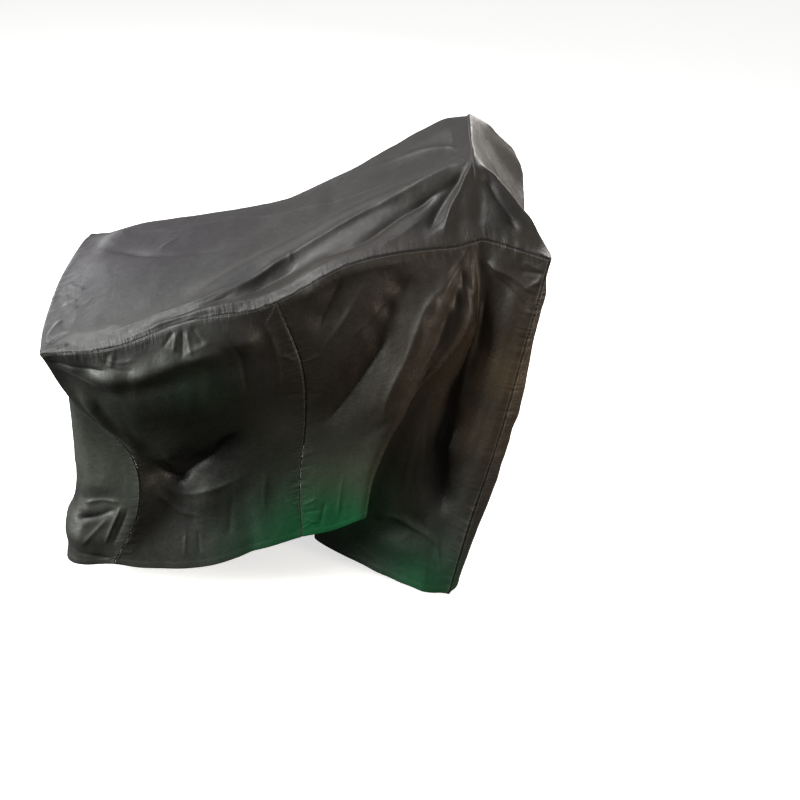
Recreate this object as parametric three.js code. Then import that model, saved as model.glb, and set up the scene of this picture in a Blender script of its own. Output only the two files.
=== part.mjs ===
// A tailored cover for an exercise bike: seven sewn panels of thin coated cloth, hanging hollow and open
// at the hem. Millimetres, +Z up, +X from the low end to the high end, -Y towards the viewer.
import * as THREE from 'three';

// Cloth
const SHEET = 2;
const SEAM_GAP = 0.3;
const CLOTH_COLOUR = 0x3a3a3b;
const CLOTH_ROUGHNESS = 0.45;

// Steps of the grid from the top seam to the hem, and across the top panel
const DROP_STEPS = 18;
const SLOPE_STEPS = 4;
const CROWN_STEPS = 3;

// Each line of cloth hangs from the top seam to the hem. Belly, waist and flare lie at even quarters of
// its drop. The steps run from one line to the next, from the low end's corner to the high end's.
const NEAR_LINES = [
  { at: 'low corner', top: [-604, -305, 806], belly: [-566, -240], waist: [-446, -222],
    flare: [-446, -236], hem: [-536, -245, 92], steps: 5 },
  { at: 'low gather', top: [-415, -335, 838], belly: [-425, -318], waist: [-388, -232],
    flare: [-372, -202], hem: [-425, -264, 88], steps: 4 },
  { at: 'low quarter', top: [-261, -332, 896], belly: [-276, -347], waist: [-303, -268],
    flare: [-306, -206], hem: [-297, -275, 97], steps: 8 },
  { at: 'side seam', top: [-24, -320, 946], belly: [27, -315], waist: [24, -285],
    flare: [0, -265], hem: [-3, -270, 193], steps: 4 },
  { at: 'high quarter', top: [128, -300, 1022], belly: [178, -312], waist: [150, -302],
    flare: [100, -285], hem: [75, -275, 216], steps: 8 },
  { at: 'pleat edge', top: [408, -256, 1052], belly: [412, -284], waist: [296, -296],
    flare: [202, -294], hem: [164, -276, 262], steps: 4 },
  { at: 'pleat root', top: [438, -254, 1060], belly: [424, -258], waist: [264, -235],
    flare: [150, -195], hem: [25, -125, 70], steps: 4 },
  { at: 'foot', top: [468, -252, 1065], belly: [452, -240], waist: [382, -232],
    flare: [350, -244], hem: [322, -302, 15], steps: 6 },
  { at: 'high corner', top: [618, -307, 1038], belly: [570, -300], waist: [521, -300],
    flare: [458, -305], hem: [404, -310, 8], steps: 0 },
];
const FAR_LINES = [
  { at: 'low corner', top: [-598, 304, 850], belly: [-590, 292], waist: [-545, 238],
    flare: [-540, 245], hem: [-582, 282, 94], steps: 5 },
  { at: 'low gather', top: [-425, 326, 858], belly: [-430, 322], waist: [-412, 272],
    flare: [-405, 252], hem: [-430, 285, 88], steps: 4 },
  { at: 'low quarter', top: [-270, 324, 886], belly: [-272, 330], waist: [-280, 285],
    flare: [-285, 262], hem: [-290, 290, 80], steps: 8 },
  { at: 'side seam', top: [-24, 312, 940], belly: [0, 318], waist: [5, 300],
    flare: [0, 290], hem: [5, 300, 110], steps: 4 },
  { at: 'high quarter', top: [128, 298, 1010], belly: [150, 308], waist: [135, 306],
    flare: [105, 298], hem: [95, 298, 128], steps: 8 },
  { at: 'pleat edge', top: [400, 256, 1050], belly: [370, 285], waist: [300, 300],
    flare: [225, 295], hem: [185, 285, 120], steps: 4 },
  { at: 'pleat root', top: [432, 254, 1058], belly: [408, 260], waist: [352, 245],
    flare: [282, 215], hem: [215, 175, 40], steps: 4 },
  { at: 'foot', top: [465, 252, 1064], belly: [442, 268], waist: [405, 280],
    flare: [345, 295], hem: [315, 305, 15], steps: 6 },
  { at: 'high corner', top: [621, 304, 1035], belly: [590, 300], waist: [545, 300],
    flare: [480, 305], hem: [425, 310, 10], steps: 0 },
];
const SIDE_SEAM_LINE = 3;

// The top panel's section over each of those lines: the near ridge, the crown and the far ridge
const TOP_SECTIONS = [
  { over: 'low corner', near: [-612, -200, 838], crown: [-616, 0, 858], far: [-606, 200, 862] },
  { over: 'low gather', near: [-430, -268, 878], crown: [-440, 0, 905], far: [-455, 268, 892] },
  { over: 'low quarter', near: [-250, -250, 932], crown: [-275, 0, 934], far: [-285, 262, 919] },
  { over: 'side seam', near: [10, -150, 1016], crown: [0, 0, 1003], far: [0, 232, 986] },
  { over: 'high quarter', near: [140, -132, 1080], crown: [132, 0, 1060], far: [130, 208, 1056] },
  { over: 'pleat edge', near: [384, -144, 1192], crown: [388, 0, 1186], far: [388, 162, 1214] },
  { over: 'pleat root', near: [420, -149, 1210], crown: [424, 0, 1206], far: [428, 155, 1227] },
  { over: 'foot', near: [450, -150, 1222], crown: [456, 0, 1225], far: [463, 150, 1234] },
  { over: 'high corner', near: [624, -258, 1026], crown: [612, 0, 945], far: [626, 256, 1026] },
];
const BAR_SECTION = 7;

// The lines of the two ends between their corners, under the top panel's ridges and crown
const LOW_END_LINES = [
  { at: 'near ridge', belly: [-600, -170], waist: [-608, -150], flare: [-626, -172], hem: [-678, -195, 78] },
  { at: 'crown', belly: [-628, 0], waist: [-632, -5], flare: [-640, 0], hem: [-675, 0, 75] },
  { at: 'far ridge', belly: [-620, 180], waist: [-618, 170], flare: [-622, 175], hem: [-660, 195, 85] },
];
const HIGH_END_LINES = [
  { at: 'near ridge', belly: [604, -240], waist: [556, -240], flare: [497, -245], hem: [440, -250, 5] },
  { at: 'crown', belly: [606, 0], waist: [575, 0], flare: [520, 0], hem: [470, 0, 5] },
  { at: 'far ridge', belly: [606, 245], waist: [562, 245], flare: [505, 250], hem: [450, 255, 5] },
];

// Folds stand out (+) or dip in (-) along a path on their panel. A path's places are [line, drop] on a
// side, [section point, drop] on an end and [line, section point] on the top panel, where the points
// count 0 near seam, 1 near ridge, 2 crown, 3 far ridge, 4 far seam. Width and height run from start to
// end. Folds fade at their ends over a share of the path, and beside a seam over some steps of the grid.
const FOLDS = [
  { on: 'near', name: 'pocket', path: [[0.35, 0.53], [1, 0.61], [1.75, 0.66], [2.25, 0.59], [2.75, 0.46]],
    width: [34, 46, 50, 56], height: [-8, -28, -34, -10] },
  { on: 'near', name: 'belly', path: [[0.9, 0.22], [2.3, 0.26]], width: [70, 80], height: [8, 14] },
  { on: 'near', name: 'belly edge', path: [[0.36, 0.14], [0.42, 0.34], [0.55, 0.5]],
    width: [18, 20], height: [10, 18, 12] },
  { on: 'near', name: 'seam shoulder', path: [[0.6, 0.075], [1.4, 0.08], [2.2, 0.075], [2.85, 0.065]],
    width: [28, 32], height: [12, 24, 14] },
  { on: 'near', name: 'low corner gather', path: [[0.15, 0.05], [1.1, 0.11]],
    width: [18, 30], height: [12, 9] },
  { on: 'near', name: 'low knee', path: [[1.9, 0.78], [2.7, 0.74]], width: [55, 70], height: [14, 10] },
  { on: 'near', name: 'low hem wave', path: [[2.45, 0.7], [2.5, 1.15]],
    width: [35, 45], height: [-8, -16] },
  { on: 'near', name: 'side seam draw', path: [[3, 0.03], [3, 1.1]],
    width: [24, 24], height: [-7, -5] },
  { on: 'near', name: 'short drag', path: [[4.02, 0.02], [3.37, 0.16]], width: [20, 28], height: [-13, -8] },
  { on: 'near', name: 'long drag', path: [[4.5, 0.05], [4.25, 0.17], [4.05, 0.32], [3.74, 0.44], [3.2, 0.57]],
    width: [24, 42], height: [-13, -20, -22, -14] },
  { on: 'near', name: 'long ridge',
    path: [[4.95, 0.05], [4.67, 0.16], [4.51, 0.25], [4.46, 0.37], [4.4, 0.49], [4.5, 0.64]],
    width: [24, 44], height: [14, 19, 18, 10] },
  { on: 'near', name: 'trough by the edge',
    path: [[5.45, 0.06], [4.85, 0.17], [4.74, 0.27], [4.8, 0.38], [4.88, 0.48]],
    width: [20, 26], height: [-14, -15, -8] },
  { on: 'near', name: 'edge ridge', path: [[6.3, 0.04], [5.6, 0.15], [5.2, 0.3], [5, 0.46]],
    width: [20, 24], height: [8, 10] },
  { on: 'near', name: 'pleat crest', path: [[4.9, 0.5], [5, 0.8], [5, 1.15]],
    width: [20, 24], height: [5, 8] },
  { on: 'near', name: 'valley floor', path: [[6.45, 0.4], [6.5, 0.6], [6.6, 0.85]],
    width: [26, 36], height: [6, 9] },
  { on: 'near', name: 'foot bulge', path: [[6.3, 0.85], [6.95, 0.91]], width: [30, 38], height: [12, 14] },
  { on: 'near', name: 'deep trough',
    path: [[7.15, 0.06], [7.1, 0.22], [7.02, 0.35], [7.03, 0.5], [7.06, 0.67], [7.12, 0.78]],
    width: [22, 38], height: [-15, -20, -22] },
  { on: 'near', name: 'corner ridge', path: [[7.68, 0.1], [7.78, 0.28], [7.82, 0.45], [7.82, 0.82]],
    width: [38, 50], height: [10, 12] },
  { on: 'near', name: 'high corner gather', path: [[7.2, 0.03], [7.85, 0.12]], width: [14, 18],
    height: [11, 13] },
  { on: 'near', name: 'high hem wave', path: [[7.3, 0.8], [7.35, 1.15]], width: [30, 40], height: [-6, -12] },

  { on: 'far', name: 'low drag', path: [[0.7, 0.08], [1.6, 0.5]], width: [30, 55], height: [-12, -24] },
  { on: 'far', name: 'low ridge', path: [[1.6, 0.05], [2.3, 0.6], [2.4, 1.15]],
    width: [28, 50], height: [10, 16] },
  { on: 'far', name: 'side seam draw', path: [[3, 0.03], [3, 1.1]], width: [24, 24], height: [-6, -5] },
  { on: 'far', name: 'long drag', path: [[4.6, 0.05], [3.9, 0.3], [3.3, 0.62]],
    width: [28, 50], height: [-14, -20] },
  { on: 'far', name: 'long ridge', path: [[5.1, 0.03], [4.6, 0.5], [4.3, 1.1]],
    width: [26, 46], height: [12, 15] },
  { on: 'far', name: 'pleat crest', path: [[5.2, 0.3], [5, 0.6], [5, 1.15]],
    width: [20, 24], height: [6, 14] },
  { on: 'far', name: 'deep trough', path: [[7.3, 0.05], [7.2, 0.5], [7.4, 1.1]],
    width: [30, 48], height: [-22, -24] },
  { on: 'far', name: 'corner ridge', path: [[7.65, 0.08], [7.75, 0.85]],
    width: [28, 38], height: [12, 14] },

  { on: 'low end', name: 'ledge', path: [[1.3, 0.68], [0.9, 0.7], [0.25, 0.715]],
    width: [24, 16], height: [-18, -10] },
  { on: 'low end', name: 'foot bulge', path: [[1.7, 0.85], [1, 0.87], [0.4, 0.89]],
    width: [55, 42], height: [20, 16] },
  { on: 'low end', name: 'seam ridge', path: [[0.28, 0.72], [0.33, 1.1]],
    width: [14, 14], height: [9, 9] },
  { on: 'low end', name: 'middle trough', path: [[2.2, 0.1], [1.9, 0.6], [2, 1.1]],
    width: [45, 60], height: [-18, -36] },
  { on: 'low end', name: 'far ridge', path: [[3.2, 0.08], [3, 1.1]],
    width: [40, 45], height: [12, 20] },

  { on: 'high end', name: 'near trough', path: [[1.2, 0.06], [1.3, 0.5], [1.25, 1.1]],
    width: [28, 42], height: [-14, -26] },
  { on: 'high end', name: 'middle ridge', path: [[1.8, 0.04], [1.75, 0.6], [1.8, 1.1]],
    width: [36, 52], height: [14, 24] },
  { on: 'high end', name: 'far trough', path: [[2.7, 0.06], [2.6, 0.6], [2.6, 1.1]],
    width: [34, 50], height: [-16, -34] },

  { on: 'top', name: 'near ridge',
    path: [[6.8, 1.05], [5, 1.08], [4.4, 1.1], [3.3, 1.05], [2.57, 1], [1.8, 0.9]],
    width: [22, 28, 30], height: [4, 8, 14, 14, 12] },
  { on: 'top', name: 'drag below it', path: [[4.8, 0.75], [4.2, 0.62], [3.2, 0.5], [2.5, 0.42]],
    width: [26, 34], height: [-9, -13, -15] },
  { on: 'top', name: 'short ridge', path: [[6.7, 0.97], [5.4, 0.7], [4.9, 0.42], [4.76, 0.15]],
    width: [18, 22], height: [8, 11] },
  { on: 'top', name: 'bar drag', path: [[6, 0.9], [4.84, 0.49], [4.46, 0.31]], width: [20, 26],
    height: [-9, -11] },
  { on: 'top', name: 'second ridge',
    path: [[4.73, 1.7], [4.21, 2.3], [3.62, 2.43], [2.72, 2.6], [2.27, 2.52]],
    width: [28, 36], height: [7, 8] },
  { on: 'top', name: 'crown sag', path: [[5.6, 2.3], [4.3, 2.35], [3.4, 2.3]],
    width: [45, 70], height: [-8, -12] },
  { on: 'top', name: 'low ridge', path: [[0.3, 2.75], [1.3, 2.53], [2, 2.42], [2.6, 2.7]],
    width: [28, 34], height: [9, 10] },
  { on: 'top', name: 'drag below it', path: [[0.5, 2.15], [1.3, 2.2], [2.2, 2.1], [2.9, 2.35]],
    width: [34, 42], height: [-11, -11] },
  { on: 'top', name: 'near hip', path: [[6.9, 1], [7.5, 1.02], [8, 0.9]],
    width: [24, 26], height: [8, 14] },
  { on: 'top', name: 'far hip', path: [[6.9, 3], [7.5, 2.98], [8, 3.1]],
    width: [30, 34], height: [14, 26] },
  { on: 'top', name: 'high end valley', path: [[7.2, 1.7], [7.9, 1.9]],
    width: [40, 60], height: [-10, -16] },
];
const FOLD_PIECES = 24;
const FOLD_FADE = 0.16;
const SEAM_FADE = 1.6;
const NORMAL_REACH = 0.25;

// A smooth curve through points at the given knots. At a sharp knot it turns a corner. Its slope at a
// point is held near the gentler of the two beside it, so that a short span doesn't bulge.
const OVERSHOOT = 1.6;

function curveThrough(points, knots, sharp = []) {
  const last = points.length - 1;
  const slope = (i) => points[i + 1].clone().sub(points[i]).divideScalar(knots[i + 1] - knots[i]);
  const blended = (i) => {
    const before = knots[i] - knots[i - 1];
    const after = knots[i + 1] - knots[i];
    const mean = slope(i - 1).multiplyScalar(after).add(slope(i).multiplyScalar(before));
    const steepest = OVERSHOOT * Math.min(slope(i - 1).length(), slope(i).length());
    return mean.divideScalar(before + after).clampLength(0, steepest);
  };
  const tangent = (i, side) => {
    if (i === 0) return slope(0);
    if (i === last) return slope(last - 1);
    if (sharp.includes(i)) return slope(side < 0 ? i - 1 : i);
    return blended(i);
  };
  return (at) => {
    let i = 0;
    while (i < last - 1 && at > knots[i + 1]) i += 1;
    const span = knots[i + 1] - knots[i];
    const s = (at - knots[i]) / span;
    const start = tangent(i, 1).multiplyScalar(span * s * (1 - s) ** 2);
    const end = tangent(i + 1, -1).multiplyScalar(span * s * s * (s - 1));
    const rise = s * s * (3 - 2 * s);
    return points[i].clone().lerp(points[i + 1], rise).add(start).add(end);
  };
}

const vector = (xyz) => new THREE.Vector3(...xyz);

// One line of cloth as a curve of its drop, from 0 at the top seam to 1 at the hem
const QUARTERS = [0, 0.25, 0.5, 0.75, 1];

function hangingLine({ top, belly, waist, flare, hem }) {
  const between = [belly, waist, flare].map((xy, i) => (
    vector([...xy, THREE.MathUtils.lerp(top[2], hem[2], QUARTERS[i + 1])])));
  return curveThrough([vector(top), ...between, vector(hem)], QUARTERS);
}

// A hanging panel as a surface of steps across and steps down
function hangingPanel(lines, knots) {
  const curves = lines.map(hangingLine);
  return (across, down) => curveThrough(curves.map((curve) => curve(down / DROP_STEPS)), knots)(across);
}

const stepsBefore = (i) => NEAR_LINES.slice(0, i).reduce((sum, line) => sum + line.steps, 0);
const sideKnots = NEAR_LINES.map((_, i) => stepsBefore(i));
const sideSteps = sideKnots.at(-1);
const topKnots = [
  0,
  SLOPE_STEPS,
  SLOPE_STEPS + CROWN_STEPS,
  SLOPE_STEPS + 2 * CROWN_STEPS,
  2 * SLOPE_STEPS + 2 * CROWN_STEPS,
];
const topSteps = topKnots.at(-1);

// An end's lines run from the near corner to the far one, under the top panel's edge
function endLines(corner, section, between) {
  const tops = [section.near, section.crown, section.far];
  return [
    NEAR_LINES[corner],
    ...between.map((line, i) => ({ ...line, top: tops[i] })),
    FAR_LINES[corner],
  ];
}

const lastLine = NEAR_LINES.length - 1;
const nearBase = hangingPanel(NEAR_LINES, sideKnots);
const farBase = hangingPanel(FAR_LINES, sideKnots);
const lowBase = hangingPanel(endLines(0, TOP_SECTIONS[0], LOW_END_LINES), topKnots);
const highBase = hangingPanel(endLines(lastLine, TOP_SECTIONS[lastLine], HIGH_END_LINES), topKnots);

// The top panel as a surface of steps along and across
function topBase(along, across) {
  const ridge = (name) => {
    const points = TOP_SECTIONS.map((section) => vector(section[name]));
    return curveThrough(points, sideKnots, [BAR_SECTION])(along);
  };
  const section = [nearBase(along, 0), ridge('near'), ridge('crown'), ridge('far'), farBase(along, 0)];
  return curveThrough(section, topKnots)(across);
}

// The value at a place in a list, straight between its entries
function valueAt(list, place) {
  const i = Math.min(Math.floor(place), list.length - 2);
  return THREE.MathUtils.lerp(list[i], list[i + 1], place - i);
}

const spread = (values, along) => valueAt(values, along * (values.length - 1));

// A fold's path on its base surface, in straight pieces
function foldPath(base, fold, acrossKnots, downKnots) {
  const places = fold.path.map(([across, down]) => new THREE.Vector3(
    valueAt(acrossKnots, across), downKnots ? valueAt(downKnots, down) : down * DROP_STEPS, 0));
  const route = new THREE.CatmullRomCurve3(places, false, 'centripetal');
  const points = [];
  for (let k = 0; k <= FOLD_PIECES; k += 1) {
    const { x, y } = route.getPoint(k / FOLD_PIECES);
    points.push(base(x, y));
  }
  return { ...fold, points };
}

// How far a fold lifts a point: most on its path, less to the sides and towards its ends
function foldLift({ points, width, height }, point) {
  let nearest = Infinity;
  let along = 0;
  const foot = new THREE.Vector3();
  for (let k = 0; k + 1 < points.length; k += 1) {
    const piece = new THREE.Line3(points[k], points[k + 1]);
    const part = piece.closestPointToPointParameter(point, true);
    const distance = piece.at(part, foot).distanceTo(point);
    if (distance < nearest) {
      nearest = distance;
      along = (k + part) / (points.length - 1);
    }
  }
  const { smoothstep } = THREE.MathUtils;
  const ends = smoothstep(along, 0, FOLD_FADE) * smoothstep(1 - along, 0, FOLD_FADE);
  const side = Math.exp(-((nearest / spread(width, along)) ** 2));
  return spread(height, along) * side * ends;
}

// A panel's surface with its folds. They die out at its seams, which stay where the base has them.
function folded(on, base, edges, outside, acrossKnots, downKnots) {
  const folds = FOLDS.filter((fold) => fold.on === on);
  const paths = folds.map((fold) => foldPath(base, fold, acrossKnots, downKnots));
  return (across, down) => {
    const point = base(across, down);
    const toSeam = Math.min(...edges(across, down));
    if (toSeam <= 0) return point;
    const along = base(across + NORMAL_REACH, down).sub(base(across - NORMAL_REACH, down));
    const below = base(across, down + NORMAL_REACH).sub(base(across, down - NORMAL_REACH));
    const normal = along.cross(below).multiplyScalar(outside).normalize();
    const lift = paths.reduce((sum, path) => sum + foldLift(path, point), 0);
    return point.addScaledVector(normal, lift * THREE.MathUtils.smoothstep(toSeam, 0, SEAM_FADE));
  };
}

const sideEdges = (across, down) => [across, sideSteps - across, down];
const endEdges = (across, down) => [across, topSteps - across, down];
const topEdges = (along, across) => [along, sideSteps - along, across, topSteps - across];
const nearSide = folded('near', nearBase, sideEdges, -1, sideKnots);
const farSide = folded('far', farBase, sideEdges, 1, sideKnots);
const lowEnd = folded('low end', lowBase, endEdges, 1, topKnots);
const highEnd = folded('high end', highBase, endEdges, -1, topKnots);
const topPanel = folded('top', topBase, topEdges, 1, sideKnots, topKnots);

// The whole shell as one welded set of points, so that panels share their seams and their normals
const WELD = 0.01;
const shell = { points: [], found: new Map() };

function weld(point) {
  const key = point.toArray().map((value) => Math.round(value / WELD)).join();
  if (!shell.found.has(key)) {
    shell.found.set(key, shell.points.length);
    shell.points.push(point);
  }
  return shell.found.get(key);
}

// A grid of welded points
function grid(columns, rows, surface) {
  const ids = [];
  for (let i = 0; i <= columns; i += 1) {
    ids.push([]);
    for (let j = 0; j <= rows; j += 1) ids[i].push(weld(surface(i, j)));
  }
  return ids;
}

const dropped = (panel, first) => (i, j) => panel(first + i, j);
const seamStep = sideKnots[SIDE_SEAM_LINE];
const highSteps = sideSteps - seamStep;

// Each panel's grid of points. Where its columns, its rows and the outside aren't a right-handed set, its
// faces are flipped. Seams are the grid's edges that are sewn.
const ALL_ROUND = ['start', 'end', 'first', 'last'];
const OPEN_AT_HEM = ['start', 'end', 'first'];
const top = grid(sideSteps, topSteps, topPanel);
const hung = (panel, steps, first) => grid(steps, DROP_STEPS, dropped(panel, first));
const PANELS = {
  top_panel: { ids: top, flip: false, seams: ALL_ROUND },
  near_side_low: { ids: hung(nearSide, seamStep, 0), flip: true, seams: OPEN_AT_HEM },
  near_side_high: { ids: hung(nearSide, highSteps, seamStep), flip: true, seams: OPEN_AT_HEM },
  far_side_low: { ids: hung(farSide, seamStep, 0), flip: false, seams: OPEN_AT_HEM },
  far_side_high: { ids: hung(farSide, highSteps, seamStep), flip: false, seams: OPEN_AT_HEM },
  low_end: { ids: hung(lowEnd, topSteps, 0), flip: false, seams: OPEN_AT_HEM },
  high_end: { ids: hung(highEnd, topSteps, 0), flip: true, seams: OPEN_AT_HEM },
};

function cellTriangles(ids, flip) {
  const triangles = [];
  for (let i = 0; i + 1 < ids.length; i += 1) {
    for (let j = 0; j + 1 < ids[i].length; j += 1) {
      const [a, b, c, d] = [ids[i][j], ids[i + 1][j], ids[i + 1][j + 1], ids[i][j + 1]];
      triangles.push(...(flip ? [[a, c, b], [a, d, c]] : [[a, b, c], [a, c, d]]));
    }
  }
  return triangles;
}

// A point on a seam takes the mean of its panels' normals, so that the panels meet on a mitre
function outwardNormals() {
  const normals = shell.points.map(() => new THREE.Vector3());
  for (const { ids, flip } of Object.values(PANELS)) {
    const own = new Map(ids.flat().map((id) => [id, new THREE.Vector3()]));
    for (const corners of cellTriangles(ids, flip)) {
      const [a, b, c] = corners.map((id) => shell.points[id]);
      const area = b.clone().sub(a).cross(c.clone().sub(a));
      corners.forEach((id) => own.get(id).add(area));
    }
    own.forEach((normal, id) => normals[id].add(normal.normalize()));
  }
  return normals.map((normal) => normal.normalize());
}

const normals = outwardNormals();

// A panel's solid: its outer skin, its inner skin and the rim between them
function panelSolid({ ids, flip, seams }) {
  const columns = ids.length - 1;
  const rows = ids[0].length - 1;
  const outer = ids.map((column) => column.map((id) => shell.points[id].clone()));
  const inner = ids.map((column) => column.map((id) => (
    shell.points[id].clone().addScaledVector(normals[id], -SHEET))));
  // Draws a seam's point back square to the seam, by half the gap
  const drawn = (skin, i, j, di, dj) => {
    const before = skin[Math.max(i - Math.abs(dj), 0)][Math.max(j - Math.abs(di), 0)];
    const after = skin[Math.min(i + Math.abs(dj), columns)][Math.min(j + Math.abs(di), rows)];
    const seam = after.clone().sub(before).normalize();
    const inward = skin[i + di][j + dj].clone().sub(skin[i][j]);
    return inward.addScaledVector(seam, -inward.dot(seam)).setLength(SEAM_GAP / 2);
  };
  for (const skin of [outer, inner]) {
    const pulls = [];
    for (let j = 0; j <= rows; j += 1) {
      if (seams.includes('start')) pulls.push([0, j, drawn(skin, 0, j, 1, 0)]);
      if (seams.includes('end')) pulls.push([columns, j, drawn(skin, columns, j, -1, 0)]);
    }
    for (let i = 0; i <= columns; i += 1) {
      if (seams.includes('first')) pulls.push([i, 0, drawn(skin, i, 0, 0, 1)]);
      if (seams.includes('last')) pulls.push([i, rows, drawn(skin, i, rows, 0, -1)]);
    }
    pulls.forEach(([i, j, pull]) => skin[i][j].add(pull));
  }
  const outerId = (i, j) => i * (rows + 1) + j;
  const skinSize = (columns + 1) * (rows + 1);
  const local = ids.map((column, i) => column.map((_, j) => outerId(i, j)));
  const triangles = cellTriangles(local, flip);
  const inside = triangles.map(([a, b, c]) => [a + skinSize, c + skinSize, b + skinSize]);
  const loop = [];
  for (let i = 0; i < columns; i += 1) loop.push(outerId(i, 0));
  for (let j = 0; j < rows; j += 1) loop.push(outerId(columns, j));
  for (let i = columns; i > 0; i -= 1) loop.push(outerId(i, rows));
  for (let j = rows; j > 0; j -= 1) loop.push(outerId(0, j));
  // Both panels at a seam split the rim's faces along the same diagonals
  const welded = ids.flat();
  const rim = loop.flatMap((a, k) => {
    const b = loop[(k + 1) % loop.length];
    const [from, to] = flip ? [b, a] : [a, b];
    const [fromIn, toIn] = [from + skinSize, to + skinSize];
    if (welded[from] < welded[to]) return [[from, toIn, to], [from, fromIn, toIn]];
    return [[from, fromIn, to], [to, fromIn, toIn]];
  });
  const geometry = new THREE.BufferGeometry();
  const positions = [...outer.flat(), ...inner.flat()].flatMap((point) => point.toArray());
  geometry.setAttribute('position', new THREE.Float32BufferAttribute(positions, 3));
  geometry.setIndex([...triangles, ...inside, ...rim].flat());
  geometry.computeVertexNormals();
  return geometry;
}

const cloth = new THREE.MeshStandardMaterial({ color: CLOTH_COLOUR, roughness: CLOTH_ROUGHNESS });
const cover = new THREE.Group();
for (const [name, panel] of Object.entries(PANELS)) {
  const mesh = new THREE.Mesh(panelSolid(panel), cloth);
  mesh.name = name;
  cover.add(mesh);
}

// The origin is where the cover hangs: under the crown of the top panel, over the bar
const crownStep = topKnots[2];
const barCrown = PANELS.top_panel.ids[sideKnots[BAR_SECTION]][crownStep];
const bearing = shell.points[barCrown].clone().addScaledVector(normals[barCrown], -SHEET);
cover.position.copy(bearing).negate();

export default cover;
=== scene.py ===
"""Looks for a tailored exercise bike cover: seven sewn panels of thin dark coated cloth over a bike.

Each panel is a thin sheet on the grid of its solid's outer skin. Creases, seam puckers and crinkles are
added to it, and its hem is turned up. Metres, +Z up, +X from the low end to the high end.
"""

import bmesh
import bpy
import numpy as np
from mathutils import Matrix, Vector, noise


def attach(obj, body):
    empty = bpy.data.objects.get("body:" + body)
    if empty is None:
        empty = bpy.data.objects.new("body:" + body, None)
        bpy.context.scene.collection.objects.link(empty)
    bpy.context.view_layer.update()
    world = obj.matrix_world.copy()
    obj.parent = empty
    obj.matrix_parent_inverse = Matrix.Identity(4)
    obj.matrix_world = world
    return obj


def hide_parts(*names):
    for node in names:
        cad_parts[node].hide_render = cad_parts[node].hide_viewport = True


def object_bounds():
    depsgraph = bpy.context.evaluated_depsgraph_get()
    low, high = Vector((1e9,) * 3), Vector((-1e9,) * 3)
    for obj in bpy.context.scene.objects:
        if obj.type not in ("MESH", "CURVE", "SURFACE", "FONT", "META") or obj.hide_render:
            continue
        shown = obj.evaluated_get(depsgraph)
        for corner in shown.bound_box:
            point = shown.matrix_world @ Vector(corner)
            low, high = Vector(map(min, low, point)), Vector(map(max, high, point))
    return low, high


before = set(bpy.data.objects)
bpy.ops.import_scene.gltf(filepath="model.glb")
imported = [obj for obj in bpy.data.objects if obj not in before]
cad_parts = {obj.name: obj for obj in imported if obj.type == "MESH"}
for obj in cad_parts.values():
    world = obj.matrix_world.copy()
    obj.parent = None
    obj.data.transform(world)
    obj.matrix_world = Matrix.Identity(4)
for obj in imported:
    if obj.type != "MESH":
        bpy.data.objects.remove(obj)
cad_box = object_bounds()

MM = 0.001
TINY = 1e-12

# Panels. The grid starts at the corner that lies furthest along first, and its columns run along across.
# Each cell of the solid's grid is cut into the fine steps across and down. Sewn edges meet a seam, and
# stitched ones show its stitches. Flat sizes are the cut's width, length and area.
SIDE = {
    "fine": (10, 14), "first": (-1, 0, 1), "across": (1, 0, 0),
    "sewn": ("left", "right", "top"), "stitched": ("right", "top"),
}
END = {
    "fine": (16, 14), "first": (0, -1, 1), "across": (0, 1, 0),
    "sewn": ("left", "right", "top"), "stitched": ("left", "right", "top"),
}
TOP = {
    "fine": (10, 16), "first": (-1, -1, 0), "across": (1, 0, 0),
    "sewn": ("left", "right", "top", "hem"), "stitched": (),
}
PANELS = {
    "top_panel": {**TOP, "flat": (0.72, 1.47), "area": 0.93},
    "near_side_low": {**SIDE, "flat": (0.64, 0.87), "area": 0.43},
    "near_side_high": {**SIDE, "flat": (0.95, 1.06), "area": 0.61},
    "far_side_low": {**SIDE, "flat": (0.61, 0.84), "area": 0.46},
    "far_side_high": {**SIDE, "flat": (0.68, 1.07), "area": 0.59},
    "low_end": {**END, "flat": (0.73, 0.82), "area": 0.5},
    "high_end": {**END, "flat": (0.66, 1.06), "area": 0.64},
}

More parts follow.
